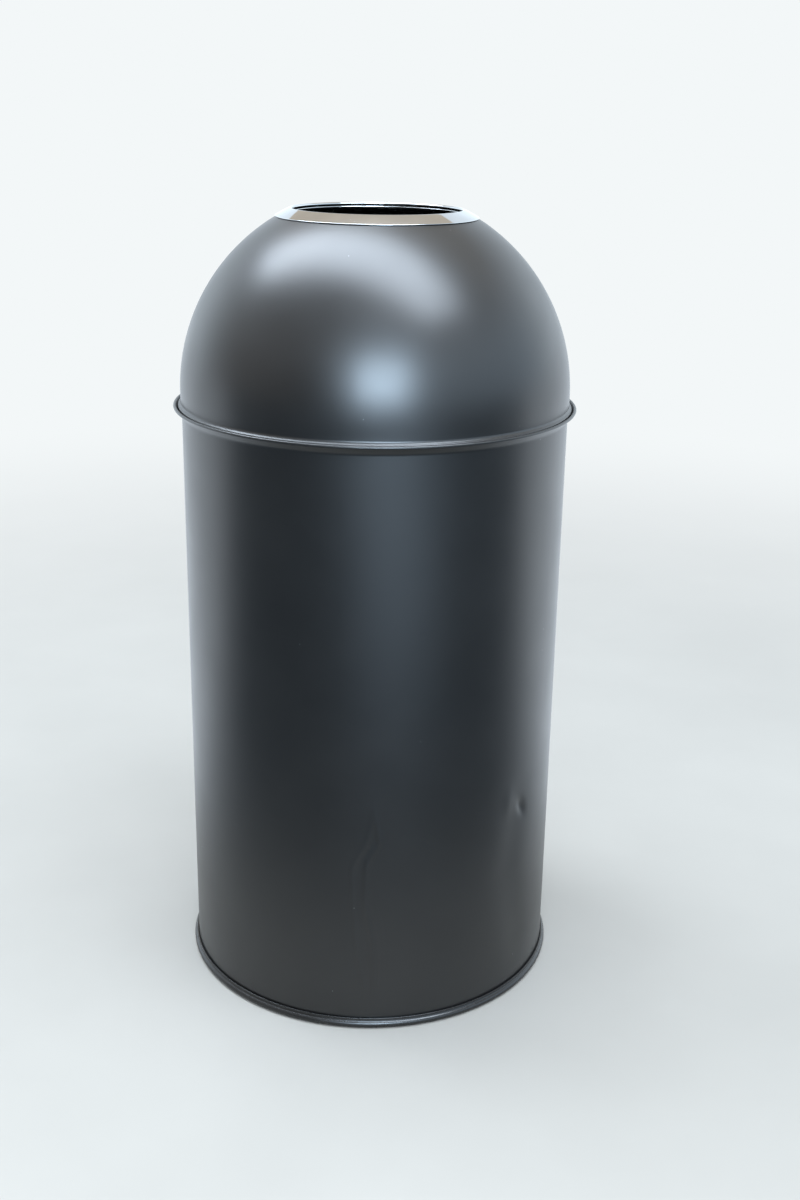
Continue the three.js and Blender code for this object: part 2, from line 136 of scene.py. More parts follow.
LINER_RIM_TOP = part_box("liner_wall")[1].z
LINER_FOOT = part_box("liner_wall")[0].z
RIM_WIRE = 2 * MM
LINER_ROLL = RIM_WIRE + SEAT_GAP + STEEL / 2
LINER_ROLL_TURN = 310
LINER_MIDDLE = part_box("liner_wall")[1].x - 2 * LINER_ROLL - STEEL / 2
LINER_TAPER = 3.5 * MM
LINER_BAND = 64 * MM
LINER_FOOT_LIP = 3.6 * MM
LINER_FOOT_BEND = 1 * MM
LINER_BEADS = 2
LINER_BEAD_RISE = 1.6 * MM
LINER_BEAD_WIDTH = 12 * MM
LINER_SEAM_ANGLE = -60  # degrees from +X
LINER_SEAM_WIDTH = 9 * MM
LINER_SEAM_RISE = 0.4 * MM
LINER_SEAM_SLOPE = 0.5 * MM
BOTTOM_LIFT = 8.5 * MM
BOTTOM_BEND = 2 * MM

PIVOT_DROP = 22 * MM  # below the liner's rim
PIVOT_HEIGHT = LINER_RIM_TOP - PIVOT_DROP
BAIL_WIRE = 2.25 * MM
BAIL_ROOM = 12 * MM  # hoop's middle line to the liner
BAIL_RADIUS = LINER_MIDDLE + STEEL / 2 + BAIL_ROOM
BAIL_CORNER = 3.8 * MM
HOOK_BEND = 2.6 * MM
HOOK_LENGTH = 4.6 * MM
EAR_STEEL = 1.2 * MM
EAR_FACE = LINER_MIDDLE + STEEL / 2 + SEAT_GAP
EAR_STAND_OFF = 6 * MM
RIVET_RADIUS = 2.1 * MM
RIVET_HEAD_RADIUS = 4.2 * MM
RIVET_HEAD_HEIGHT = 2 * MM
RIVET_TAIL_RADIUS = 3.4 * MM
RIVET_TAIL_HEIGHT = 1.2 * MM

# ---- Lines and outlines: arrays of (radius, height) --------------------------------------------------------


SAME_POINT = 1e-7


def arc(centre, radius, start, stop, steps):
    """Points at equal angles on a circle: centre plus radius times the cosine and sine of the angle."""
    angle = np.radians(np.linspace(start, stop, steps + 1))
    return np.column_stack([centre[0] + radius * np.cos(angle), centre[1] + radius * np.sin(angle)])


def bent(corners, radius, steps=6):
    """A line through corners, each corner replaced by the arc of a given radius that touches both sides."""
    corners = np.asarray(corners, float)
    line = [corners[:1]]
    for before, here, after in zip(corners, corners[1:], corners[2:]):
        into = (here - before) / np.linalg.norm(here - before)
        out = (after - here) / np.linalg.norm(after - here)
        half_turn = math.acos(np.clip(into @ out, -1, 1)) / 2
        reach = radius * math.tan(half_turn)
        share = np.linspace(0, 1, steps + 1)[:, None]
        start, stop = here - into * reach, here + out * reach
        chord = start + (stop - start) * share
        inward = (out - into) / np.linalg.norm(out - into)
        centre = here + inward * (radius / math.cos(half_turn))
        spoke = chord - centre
        line.append(centre + spoke / np.linalg.norm(spoke, axis=1)[:, None] * radius)
    line.append(corners[-1:])
    return np.vstack(line)


def spaced(line, spacing):
    """The same line with extra points on its long stretches, so that none is longer than the spacing."""
    length = np.concatenate([[0], np.cumsum(np.linalg.norm(np.diff(line, axis=0), axis=1))])
    even = np.arange(0, length[-1], spacing)
    far = np.abs(even[:, None] - length[None, :]).min(axis=1) > spacing / 3
    stations = np.sort(np.concatenate([length, even[far]]))
    return np.column_stack([np.interp(stations, length, line[:, axis]) for axis in (0, 1)])


def joined(*stretches):
    """Stretches one after the other, without the points that repeat where they meet."""
    line = np.vstack(stretches)
    step = np.linalg.norm(np.diff(line, axis=0), axis=1)
    return line[np.concatenate([[True], step > SAME_POINT])]


def directions(line):
    """Unit vectors along a line, from each point's neighbours."""
    along = np.gradient(line, axis=0)
    return along / np.linalg.norm(along, axis=1)[:, None]


EDGE_STEPS = 6  # round a sheet's half-round edge


def sheet(line):
    """A bent sheet's outline: its middle line moved half the steel to each side, with half-round edges."""
    along = directions(line) * STEEL / 2
    across = np.column_stack([-along[:, 1], along[:, 0]])
    turn = np.linspace(0, math.pi, EDGE_STEPS + 1)[1:-1, None]
    end = line[-1] + across[-1] * np.cos(turn) + along[-1] * np.sin(turn)
    start = line[0] - across[0] * np.cos(turn) - along[0] * np.sin(turn)
    return np.vstack([line + across, end, (line - across)[::-1], start])


def dome_arc(radius, start, stop, steps):
    """A sphere's outline about the dome's centre, between two distances from the axis."""
    elevation = [math.degrees(math.acos(distance / radius)) for distance in (start, stop)]
    return arc((0, DOME_CENTRE), radius, *elevation, steps)


# ---- Surfaces ----------------------------------------------------------------------------------------------

COLUMNS = 240  # of a turned mesh
EVEN_ANGLES = np.linspace(0, 2 * math.pi, COLUMNS, endpoint=False)
PANEL_ROW = 15 * MM  # longest row of a flat panel's mesh
WALL_ROW = 12 * MM  # and of a plain wall's
MERGE_REACH = 1e-6  # within which a mesh's points are made one


def placed(name, data):
    """A new object in the scene."""
    made = bpy.data.objects.new(name, data)
    bpy.context.scene.collection.objects.link(made)
    return made


def piece(name, grid, material, body, wrap_rows=True, wrap_columns=True, caps=False):
    """A mesh through a grid of points: each cell of the grid is one face, and the ends may be capped."""
    rows, columns = grid.shape[:2]
    index = np.arange(rows * columns).reshape(rows, columns)
    right = np.roll(index, -1, axis=1)
    cells = np.stack([index, right, np.roll(right, -1, axis=0), np.roll(index, -1, axis=0)], axis=-1)
    cells = cells[: None if wrap_rows else -1, : None if wrap_columns else -1]
    faces = cells.reshape(-1, 4).tolist()
    if caps:
        faces += [index[0][::-1].tolist(), index[-1].tolist()]
    mesh = bpy.data.meshes.new(name)
    mesh.from_pydata(grid.reshape(-1, 3).tolist(), [], faces)
    shape = bmesh.new()
    shape.from_mesh(mesh)
    bmesh.ops.remove_doubles(shape, verts=shape.verts, dist=MERGE_REACH)
    bmesh.ops.dissolve_degenerate(shape, edges=shape.edges, dist=SAME_POINT)
    bmesh.ops.recalc_face_normals(shape, faces=shape.faces)
    shape.to_mesh(mesh)
    shape.free()
    mesh.polygons.foreach_set("use_smooth", np.ones(len(mesh.polygons), bool))
    mesh.materials.append(material)
    made = placed(name, mesh)
    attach(made, body)
    return made


def turned(outline, angles=EVEN_ANGLES, shift=None):
    """A closed outline turned about Z, its radius moved by shift(angle, radius, height) if one is given."""
    angle = angles[:, None]
    radius = outline[None, :, 0] + 0 * angle
    height = outline[None, :, 1] + 0 * angle
    if shift:
        radius = radius + shift(angle, radius, height)
    return np.stack([radius * np.cos(angle), radius * np.sin(angle), height], axis=-1)


def disc(line):
    """A sheet turned about Z whose inner edge is drawn onto the axis, so that it has no hole."""
    grid = turned(sheet(line))
    grid[..., :2] *= (np.linalg.norm(grid[..., :2], axis=-1) > STEEL)[..., None]
    return grid


def swept(path, section):
    """A section carried along a flat path: each ring is the section on the path's normal and on Z."""
    along = directions(path)
    normal = np.column_stack([along[:, 1], -along[:, 0]])
    ring = path[:, None, :] + normal[:, None, :] * section[None, :, :1]
    return np.concatenate([ring, np.broadcast_to(section[None, :, 1:], ring.shape[:2] + (1,))], axis=-1)


def bump(value, centre, half_width):
    """A smooth hill, 1 at the centre and falling as the square of the distance in half widths."""
    return np.exp(-(((value - centre) / half_width) ** 2))


def between(height, foot, foot_fade, head, head_fade):
    """1 between two heights and 0 beyond them, with a straight fade inside each."""
    return np.clip((height - foot) / foot_fade, 0, 1) * np.clip((head - height) / head_fade, 0, 1)


# ---- Materials ---------------------------------------------------------------------------------------------


def linear(code):
    """An sRGB hex colour as linear red, green, blue and alpha."""
    channels = np.array([int(code[i : i + 2], 16) for i in (1, 3, 5)]) / 255
    values = np.where(channels <= 0.04045, channels / 12.92, ((channels + 0.055) / 1.055) ** 2.4)
    return (*values.tolist(), 1.0)


def new_material(name):
    material = bpy.data.materials.new(name)
    material.use_nodes = True
    material.node_tree.nodes.clear()
    return material


def add(material, kind, settings=None, **links):
    """Adds a node. Settings are properties or input values, and links feed its inputs from other sockets.

    An input goes by its name, with _ for a space, or by its number: 0 as a setting and _0 as a link.
    """
    node = material.node_tree.nodes.new("ShaderNode" + kind)
    for key, value in (settings or {}).items():
        if isinstance(key, int) or key in node.inputs:
            node.inputs[key].default_value = value
        else:
            setattr(node, key, value)
    for key, source in links.items():
        target = node.inputs[int(key[1:])] if key[0] == "_" else node.inputs[key.replace("_", " ")]
        material.node_tree.links.new(source, target)
    return node


def blend_colours(material, factor, low, high):
    """Runs from one colour to another as the factor goes from 0 to 1."""
    ramp = add(material, "ValToRGB", Fac=factor)
    ramp.color_ramp.elements[0].color = linear(low)
    ramp.color_ramp.elements[1].color = linear(high)
    return ramp.outputs["Color"]


def spread(material, value, from_low, from_high, to_low, to_high):
    """Carries a value from one range to another, stopping at the ends."""
    settings = {"From Min": from_low, "From Max": from_high, "To Min": to_low, "To Max": to_high}
    return add(material, "MapRange", settings, Value=value).outputs["Result"]


def noise(material, place, size, detail):
    """A soft random field whose lumps are about the given size across."""
    return add(material, "TexNoise", {"Scale": 1 / size, "Detail": detail}, Vector=place).outputs["Fac"]


def relief(material, height, strength, distance):
    """The surface's normal over a fine relief of the given height."""
    return add(material, "Bump", {"Strength": strength, "Distance": distance}, Height=height).outputs[0]


def finish(material, settings, colour, gloss, normal):
    """The surface itself: its colour, its roughness and its normal come from the textures."""
    shader = add(material, "BsdfPrincipled", settings, Base_Color=colour, Roughness=gloss, Normal=normal)
    add(material, "OutputMaterial", Surface=shader.outputs[0])
    return material


METAL = {"Metallic": 1.0}


def powder_coat():
    """Black polyester powder, baked on steel: satin, with a fine orange peel and a little dust."""
    material = new_material("powder_coat_satin_black")
    place = add(material, "TexCoord").outputs["Object"]
    tone = spread(material, noise(material, place, 70 * MM, 4), 0.35, 0.65, 0, 1)
    coat_colour = blend_colours(material, tone, "#0f1011", "#141516")
    dust = add(material, "TexVoronoi", {"Scale": 1 / (27 * MM)}, Vector=place).outputs["Distance"]
    speck = spread(material, dust, 0.008, 0.018, 1, 0)
    dust_colour = add(material, "Mix", {"data_type": "RGBA"}, _0=speck, _6=coat_colour)
    dust_colour.inputs[7].default_value = linear("#8f9396")
    # Orange peel runs to about 1.5 mm across, and the powder's own grain is about 0.3 mm.
    peel = noise(material, place, 1.6 * MM, 1)
    grain = noise(material, place, 0.35 * MM, 2)
    height = add(material, "Math", {"operation": "MULTIPLY_ADD", 1: 0.35}, _0=grain, _2=peel).outputs[0]
    gloss = spread(material, noise(material, place, 45 * MM, 5), 0.3, 0.7, 0.34, 0.37)
    normal = relief(material, height, 0.12, 0.1 * MM)
    return finish(material, {"IOR": 1.6}, dust_colour.outputs[2], gloss, normal)


def moulded_plastic():
    """Soft black vinyl, moulded with a fine spark-eroded grain and polished by wear."""
    material = new_material("moulded_black_vinyl")
    place = add(material, "TexCoord").outputs["Object"]
    tone = spread(material, noise(material, place, 30 * MM, 4), 0.3, 0.7, 0, 1)
    colour = blend_colours(material, tone, "#0e0f11", "#131416")
    grain = noise(material, place, 0.6 * MM, 2)
    gloss = spread(material, noise(material, place, 18 * MM, 4), 0.3, 0.7, 0.24, 0.3)
    return finish(material, {"IOR": 1.56}, colour, gloss, relief(material, grain, 0.12, 0.08 * MM))


def bright_chrome():
    """Chromium plated on polished steel: a mirror, with a faint haze where cloths have wiped round it."""
    material = new_material("bright_chrome_plate")
    place = add(material, "TexCoord").outputs["Object"]
    haze = spread(material, noise(material, place, 14 * MM, 5), 0.35, 0.75, 0.03, 0.1)
    tone = spread(material, noise(material, place, 25 * MM, 3), 0.3, 0.7, 0, 1)
    colour = blend_colours(material, tone, "#b9bbbd", "#c2c4c5")
    wiped = noise(material, place, 3 * MM, 2)
    return finish(material, METAL, colour, haze, relief(material, wiped, 0.04, 0.05 * MM))


def galvanised_sheet():
    """Hot-dip galvanised steel: zinc crystals about 11 mm across, each of its own grey, and a dull bloom."""
    material = new_material("hot_dip_galvanised_steel")
    place = add(material, "TexCoord").outputs["Object"]
    warp = add(material, "TexNoise", {"Scale": 1 / (9 * MM), "Detail": 2.0}, Vector=place)
    shifted = add(
        material, "VectorMath", {"operation": "MULTIPLY_ADD", 1: (5 * MM,) * 3},
        _0=warp.outputs["Color"], _2=place,
    )
    crystal = add(material, "TexVoronoi", {"Scale": 1 / (11 * MM)}, Vector=shifted.outputs[0])
    shade = add(material, "SeparateColor", Color=crystal.outputs["Color"]).outputs[0]
    bloom = noise(material, place, 60 * MM, 5)
    mixed = add(material, "Math", {"operation": "MULTIPLY_ADD", 1: 0.55}, _0=shade, _2=bloom).outputs[0]
    colour = blend_colours(material, spread(material, mixed, 0.3, 1.15, 0, 1), "#8a9093", "#b7bcbf")
    gloss = spread(material, shade, 0, 1, 0.32, 0.5)
    return finish(material, METAL, colour, gloss, relief(material, mixed, 0.15, 0.1 * MM))


def zinc_plated_wire():
    """Drawn wire, zinc plated: an even pale grey with a slight mottle and hand-worn bright patches."""
    material = new_material("zinc_plated_wire")
    place = add(material, "TexCoord").outputs["Object"]
    mottle = noise(material, place, 4 * MM, 4)
    colour = blend_colours(material, spread(material, mottle, 0.3, 0.7, 0, 1), "#969b9e", "#bcc0c2")
    gloss = spread(material, noise(material, place, 20 * MM, 4), 0.3, 0.7, 0.24, 0.4)
    return finish(material, METAL, colour, gloss, relief(material, mottle, 0.1, 0.05 * MM))


COAT = powder_coat()
VINYL = moulded_plastic()
CHROME = bright_chrome()
GALVANISED = galvanised_sheet()
WIRE = zinc_plated_wire()

# ---- Body --------------------------------------------------------------------------------------------------

BODY_MIDDLE = BODY_RADIUS - STEEL / 2
BEAD_CENTRE = (BODY_RADIUS + RIM_REACH - RIM_BEAD, RIM_TOP - RIM_BEAD)
BEAD_LINE = arc(BEAD_CENTRE, RIM_BEAD - STEEL / 2, 180 - RIM_FLARE, 180 - RIM_FLARE - RIM_BEAD_TURN, 24)
FLARE = math.radians(RIM_FLARE)
FLARE_FOOT = BEAD_LINE[0, 1] - (BEAD_LINE[0, 0] - BODY_MIDDLE) / math.tan(FLARE)  # if the bend were sharp
SEAM_ANGLE = math.pi / 2  # at the back
SEAM_HALF_TURN = SEAM_WIDTH / 2 / BODY_RADIUS
SEAM_SLOPE_TURN = SEAM_SLOPE / BODY_RADIUS
SEAM_TOP = FLARE_FOOT - RIM_FLARE_BEND * math.tan(FLARE / 2)


def seam_angles(centre, half_width, slope):
    """Even angles, with more of them where a seam's two edges step."""
    edge = np.linspace(-slope, slope, 7)
    extra = np.concatenate([centre + half_width + edge, centre - half_width + edge])
    return np.unique(np.round(np.concatenate([EVEN_ANGLES, extra % (2 * math.pi)]), 7))


def lap_seam(angle, radius, height, centre, middle, half_width, slope, foot, top, rise):
    """A lap's step on both faces of the sheet: full height within its width, falling over the slope."""
    off = np.abs((angle - centre + math.pi) % (2 * math.pi) - math.pi)
    inside = np.clip((half_width + slope - off) / (2 * slope), 0, 1)
    return np.sign(radius - middle) * rise * inside * between(height, foot, SEAM_FADE, top, SEAM_FADE)


# Dents, by height and by degrees from +X. A flattened strip leads up to a dimple with a pinched edge beside
# it, and in front two creases close a lens. At its half width or half height a dent has fallen to 37 percent.
STRIP_HEIGHTS = np.array([40, 54, 137, 203, 230]) * MM
STRIP_TURNS = [-36, -37, -43, -40, -39]
STRIP_FOOT = 22 * MM
STRIP_FOOT_FADE = 40 * MM
STRIP_HEAD = 245 * MM
STRIP_HEAD_FADE = 50 * MM
STRIP_DEPTH = 1.3 * MM
STRIP_HALF_WIDTH = 6.4
DIMPLE_HEIGHT = 203 * MM
DIMPLE_HALF_HEIGHT = 8 * MM
DIMPLE_TURN = -37.2
DIMPLE_HALF_WIDTH = 1.7
DIMPLE_SLANT = 160  # degrees for each metre of height
DIMPLE_DEPTH = 1.9 * MM
PINCH_HEIGHT = 214 * MM
PINCH_HALF_HEIGHT = 13 * MM
PINCH_TURN = -44
PINCH_HALF_WIDTH = 2.4
PINCH_RISE = 0.6 * MM
CREASE_HEIGHTS = np.array([30, 42, 73, 90, 134, 173, 181, 201, 226, 240]) * MM
RIGHT_CREASE_TURNS = [-88.4, -88.6, -88.9, -89.2, -91.5, -91.3, -91.0, -87.3, -88.6, -89.0]
RIGHT_CREASE_RISE = 0.85 * MM
LEFT_CREASE_TURNS = [-90.5, -91.5, -93.5, -94.0, -95.2, -95.4, -94.6, -91.0, -89.5, -89.2]
LEFT_CREASE_RISE = 0.6 * MM
CREASE_FOOT = 30 * MM
CREASE_FOOT_FADE = 20 * MM
CREASE_HEAD = 240 * MM
CREASE_HEAD_FADE = 30 * MM
CREASE_HALF_WIDTH = 0.8
LENS_HALF_WIDTH = 3.2
LENS_DEPTH = 0.5 * MM

# The wall's mesh is finer where the dents are.
DENTED_TOP = 250 * MM
DENTED_ROW = 4.5 * MM
CREASE_COLUMNS = np.arange(-99, -84, 0.35)
STRIP_COLUMNS = np.arange(-58, -26, 0.6)
DENT_ANGLES = np.radians(np.concatenate([CREASE_COLUMNS, STRIP_COLUMNS])) % (2 * math.pi)


def flattened_strip(turn, height):
    """The long strip, with the dimple at its head and the pinched edge beside that."""
    middle = np.interp(height, STRIP_HEIGHTS, STRIP_TURNS)
    along = between(height, STRIP_FOOT, STRIP_FOOT_FADE, STRIP_HEAD, STRIP_HEAD_FADE)
    strip = STRIP_DEPTH * bump(turn, middle, STRIP_HALF_WIDTH) * along
    slanted = turn + (height - DIMPLE_HEIGHT) * DIMPLE_SLANT
    dimple = DIMPLE_DEPTH * bump(slanted, DIMPLE_TURN, DIMPLE_HALF_WIDTH)
    dimple = dimple * bump(height, DIMPLE_HEIGHT, DIMPLE_HALF_HEIGHT)
    pinch = PINCH_RISE * bump(turn, PINCH_TURN, PINCH_HALF_WIDTH)
    return pinch * bump(height, PINCH_HEIGHT, PINCH_HALF_HEIGHT) - strip - dimple


def creased_lens(turn, height):
    """Two sharp creases, and the shallow hollow between them."""
    right = np.interp(height, CREASE_HEIGHTS, RIGHT_CREASE_TURNS)
    left = np.interp(height, CREASE_HEIGHTS, LEFT_CREASE_TURNS)
    creases = RIGHT_CREASE_RISE * bump(turn, right, CREASE_HALF_WIDTH)
    creases = creases + LEFT_CREASE_RISE * bump(turn, left, CREASE_HALF_WIDTH)
    lens = LENS_DEPTH * bump(turn, (left + right) / 2, LENS_HALF_WIDTH)
    return (creases - lens) * between(height, CREASE_FOOT, CREASE_FOOT_FADE, CREASE_HEAD, CREASE_HEAD_FADE)


def body_shift(angle, radius, height):
    """The seam at the back, plus the dents."""
    seam = lap_seam(
        angle, radius, height, SEAM_ANGLE, BODY_MIDDLE,
        SEAM_HALF_TURN, SEAM_SLOPE_TURN, SEAM_FOOT, SEAM_TOP, SEAM_RISE,
    )
    turn = np.degrees((angle + math.pi) % (2 * math.pi) - math.pi)
    return seam + flattened_strip(turn, height) + creased_lens(turn, height)


def body_shell():
    """The rolled wall: fine rows where it is dented, then plain ones up to the flare and its bead."""
    dented = spaced(np.array([[BODY_MIDDLE, SHEET_FOOT], [BODY_MIDDLE, DENTED_TOP]]), DENTED_ROW)
    corners = [(BODY_MIDDLE, DENTED_TOP), (BODY_MIDDLE, FLARE_FOOT), BEAD_LINE[0]]
    plain = spaced(bent(corners, RIM_FLARE_BEND, 10), WALL_ROW)
    seam = seam_angles(SEAM_ANGLE, SEAM_HALF_TURN, SEAM_SLOPE_TURN)
    angles = np.unique(np.round(np.concatenate([seam, DENT_ANGLES]), 5))
    grid = turned(sheet(joined(dented, plain, BEAD_LINE)), angles, body_shift)
    made = piece("body_wall_rolled", grid, COAT, "body")
    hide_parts("body_shell")


def base_pan():
    """A pressed disc: its skirt, the ledge that the liner stands on, and the recess in the middle."""
    edge = PAN_SKIRT - STEEL / 2
    ledge = PAN_LEDGE - STEEL / 2
    recess = LINER_FOOT_MIDDLE - LINER_FOOT_LIP - PAN_LEDGE_SPARE
    corners = [
        (edge, SHEET_FOOT),
        (edge, ledge),
        (recess, ledge),
        (recess - PAN_RECESS_SLOPE, ledge - PAN_RECESS),
        (0, ledge - PAN_RECESS),
    ]
    grid = disc(spaced(bent(corners, PAN_BEND), PANEL_ROW))
    made = piece("base_pan_pressed", grid, COAT, "body")
    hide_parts("base_pan")


def floor_ring():
    """A moulded ring: a slot for the edges of wall and pan, a lip on each side, and a half-round outside."""
    slot_outer = BODY_RADIUS + SEAT_GAP
    slot_inner = PAN_SKIRT - STEEL - SEAT_GAP
    lip = slot_outer + RING_LIP
    inner = slot_inner - RING_INNER_LIP
    bulge = (RING_OUTER - RING_BULGE, RING_BULGE)
    corners = [
        (inner + RING_FLAT, 0),
        (inner, 0),
        (inner, RING_INNER_TOP),
        (slot_inner, RING_INNER_TOP),
        (slot_inner, RING_PAD),
        (slot_outer, RING_PAD),
        (slot_outer, RING_LIP_TOP),
        (lip, RING_LIP_TOP),
        (lip, 2 * RING_BULGE),
    ]
    line = joined(bent(corners, RING_EDGE, 4), arc(bulge, RING_BULGE, RING_BULGE_TURN, -90, 22))
    made = piece("floor_ring_moulded", turned(line[::-1]), VINYL, "body")
    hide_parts("floor_ring")


# ---- Dome --------------------------------------------------------------------------------------------------

DOME_ROW = 3 * MM
COLLAR_ROW = 4 * MM
DOME_MIDDLE = DOME_RADIUS - STEEL / 2
DOME_INSIDE = DOME_RADIUS - STEEL
NECK_OUTSIDE = OPENING_RADIUS + STEEL


def foot_roll():
    """The roll at the skirt's foot, which rests on the inside of the body's flare."""
    distance = DOME_RADIUS + FOOT_REACH - FOOT_ROLL
    seat = FOOT_ROLL + SEAT_GAP + STEEL / 2 + (distance - BODY_MIDDLE) * math.cos(FLARE)
    centre = (distance, FLARE_FOOT + seat / math.sin(FLARE))
    return arc(centre, FOOT_ROLL - STEEL / 2, FOOT_FILLET, FOOT_FILLET - FOOT_ROLL_TURN, 24)


def dome_shell():
    """The hemisphere, its short skirt turned out by a fillet, and the roll at its foot."""
    roll = foot_roll()
    turn = math.radians(FOOT_FILLET)
    fillet = (roll[0, 0] - DOME_MIDDLE) / (1 - math.cos(turn))
    fillet_centre = (DOME_MIDDLE + fillet, roll[0, 1] + fillet * math.sin(turn))
    line = joined(
        dome_arc(DOME_MIDDLE, NECK_OUTSIDE + MOUTH_MARGIN, DOME_MIDDLE, 90),
        arc(fillet_centre, fillet, 180, 180 + FOOT_FILLET, 10),
        roll,
    )
    made = piece("dome_spun", turned(sheet(spaced(line, DOME_ROW))), COAT, "dome")
    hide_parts("dome_shell")


def dome_collar():
    """The strip inside the skirt, joggled inwards to drop into the body."""
    upper = COLLAR_OUTER - STEEL / 2
    lower = BODY_RADIUS - STEEL - COLLAR_SLIP - STEEL / 2
    corners = [
        (upper, COLLAR_TOP),
        (upper, COLLAR_TOP - COLLAR_UPPER),
        (lower, COLLAR_TOP - COLLAR_UPPER - COLLAR_JOGGLE),
        (lower, COLLAR_FOOT + COLLAR_LEAD_HEIGHT),
        (lower - COLLAR_LEAD, COLLAR_FOOT + STEEL / 2),
    ]
    grid = turned(sheet(spaced(bent(corners, COLLAR_BEND), COLLAR_ROW)))
    made = piece("dome_collar_joggled", grid, COAT, "dome")
    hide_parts("dome_collar")


TRIM_MIDDLE = DOME_RADIUS + SEAT_GAP + STEEL / 2
CLAMP_OUTER = DOME_INSIDE - SEAT_GAP
CLAMP_INNER = CLAMP_OUTER - CLAMP_THICKNESS
TAB_MIDDLE = CLAMP_INNER - SEAT_GAP - STEEL / 2
TAB_STEPS = 6
NECK_ROW = 0.25 * MM
RIM_SHARE = 0.03  # of the band's first step, for the extra point beside its rim


def tangent_circle(sphere, radius, distance):
    """Centre of a circle beside the neck that touches a sphere about the dome's centre, and where it does."""
    across = distance + radius
    height = math.sqrt(sphere**2 - across**2)
    return (across, DOME_CENTRE + height), math.degrees(math.acos(across / sphere))


def tab_gaps():
    """Angles round the neck, and which of them lie in a gap between tabs."""
    half = TRIM_TAB_GAP / 2 / NECK_OUTSIDE
    # A gap's edges come twice, a hair apart.
    hair = 1e-7
    middles = (np.arange(TRIM_TABS) + 0.5) * 2 * math.pi / TRIM_TABS
    edges = np.concatenate([middles + side * (half + offset) for side in (-1, 1) for offset in (-hair, hair)])
    angles = np.sort(np.concatenate([EVEN_ANGLES, edges]))
    away = np.abs(angles[:, None] - middles[None, :]).min(axis=1)
    return angles, away < half


def trim_ring():
    """The bright band on the dome, its rolled edge, the neck, and the tabs bent over the clamp ring."""
    neck = OPENING_RADIUS + STEEL / 2
    edge = TRIM_EDGE - STEEL / 2
    edge_centre, edge_angle = tangent_circle(TRIM_MIDDLE - edge, edge, neck)
    edge_start = TRIM_MIDDLE / (TRIM_MIDDLE - edge) * edge_centre[0]
    bend = TRIM_TAB_BEND + STEEL / 2
    bend_centre, bend_angle = tangent_circle(TAB_MIDDLE + bend, bend, neck)
    tab_start = TAB_MIDDLE / (TAB_MIDDLE + bend) * bend_centre[0]
    neck_line = spaced(np.array([[neck, edge_centre[1]], [neck, bend_centre[1]]]), NECK_ROW)
    middle = (edge_centre[1] + bend_centre[1]) / 2
    for count in (1, 0, -1):
        crest = middle + count * NECK_LINE_PITCH
        neck_line[:, 0] += NECK_LINE_RISE * bump(neck_line[:, 1], crest, NECK_LINE_HALF_WIDTH)
    line = joined(
        dome_arc(TRIM_MIDDLE, OPENING_RADIUS + TRIM_WIDTH, edge_start, 10),
        arc(edge_centre, edge, edge_angle, 180, 14),
        neck_line,
        arc(bend_centre, bend, 180, 180 + bend_angle, 8),
        dome_arc(TAB_MIDDLE, tab_start, NECK_OUTSIDE + TRIM_TAB_REACH, TAB_STEPS),
    )
    # A point just inside the rim keeps the band's shading even up to its edge.
    line = np.insert(line, 1, line[0] + RIM_SHARE * (line[1] - line[0]), axis=0)
    outline = sheet(line)
    # In a gap the tab's part of the outline is drawn together onto the cut at the bend's end.
    points = len(line)
    cut = points - TAB_STEPS - 1
    back = points + EDGE_STEPS - 1  # where the outline starts on the sheet's other face
    back_cut = back + points - 1 - cut
    bare = outline.copy()
    bare[cut:points] = outline[cut]
    bare[points:back] = np.linspace(outline[cut], outline[back_cut], EDGE_STEPS + 1)[1:-1]
    bare[back:back_cut] = outline[back_cut]
    angles, in_gap = tab_gaps()
    grid = np.where(in_gap[:, None, None], turned(bare, angles), turned(outline, angles))
    grid[..., 2] += TRIM_TOP - outline[:, 1].max()
    made = piece("trim_ring_plated", grid, CHROME, "dome")
    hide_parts("trim_ring")


def trim_clamp_ring():
    """The ring below the dome's edge, that the tabs are bent over."""
    inner = NECK_OUTSIDE + CLAMP_SLIP
    outer = inner + CLAMP_WIDTH
    outline = joined(dome_arc(CLAMP_OUTER, inner, outer, 6), dome_arc(CLAMP_INNER, outer, inner, 6))
    made = piece("trim_clamp_ring_moulded", turned(outline), VINYL, "dome")
    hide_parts("trim_clamp_ring")


# ---- Liner -------------------------------------------------------------------------------------------------

LINER_ROLL_CENTRE = (LINER_MIDDLE + LINER_ROLL, LINER_RIM_TOP - LINER_ROLL - STEEL / 2)
LINER_FOOT_MIDDLE = LINER_MIDDLE - LINER_TAPER
LINER_BAND_FOOT = LINER_ROLL_CENTRE[1] - LINER_BAND
LINER_CLIMB = LINER_BAND_FOOT - LINER_FOOT  # height of the tapered stretch
BEAD_CRESTS = [LINER_FOOT + LINER_CLIMB * (index + 1) / (LINER_BEADS + 1) for index in range(LINER_BEADS)]
BEAD_HALF_WIDTH = 0.3  # of the bead's width, for its smooth hill
BEAD_REACH = 0.7  # of the bead's width to each side, within which the wall's rows are close
LINER_SEAM = math.radians(LINER_SEAM_ANGLE)
LINER_SEAM_HALF_TURN = LINER_SEAM_WIDTH / 2 / LINER_MIDDLE
LINER_SEAM_SLOPE_TURN = LINER_SEAM_SLOPE / LINER_MIDDLE


def wall_middle(height):
    """The wall's middle radius at a height: tapered up to its straight band, with beads across the taper."""
    middle = LINER_MIDDLE - LINER_TAPER * np.clip((LINER_BAND_FOOT - height) / LINER_CLIMB, 0, 1)
    for crest in BEAD_CRESTS:
        middle = middle + LINER_BEAD_RISE * bump(height, crest, LINER_BEAD_WIDTH * BEAD_HALF_WIDTH)
    return middle


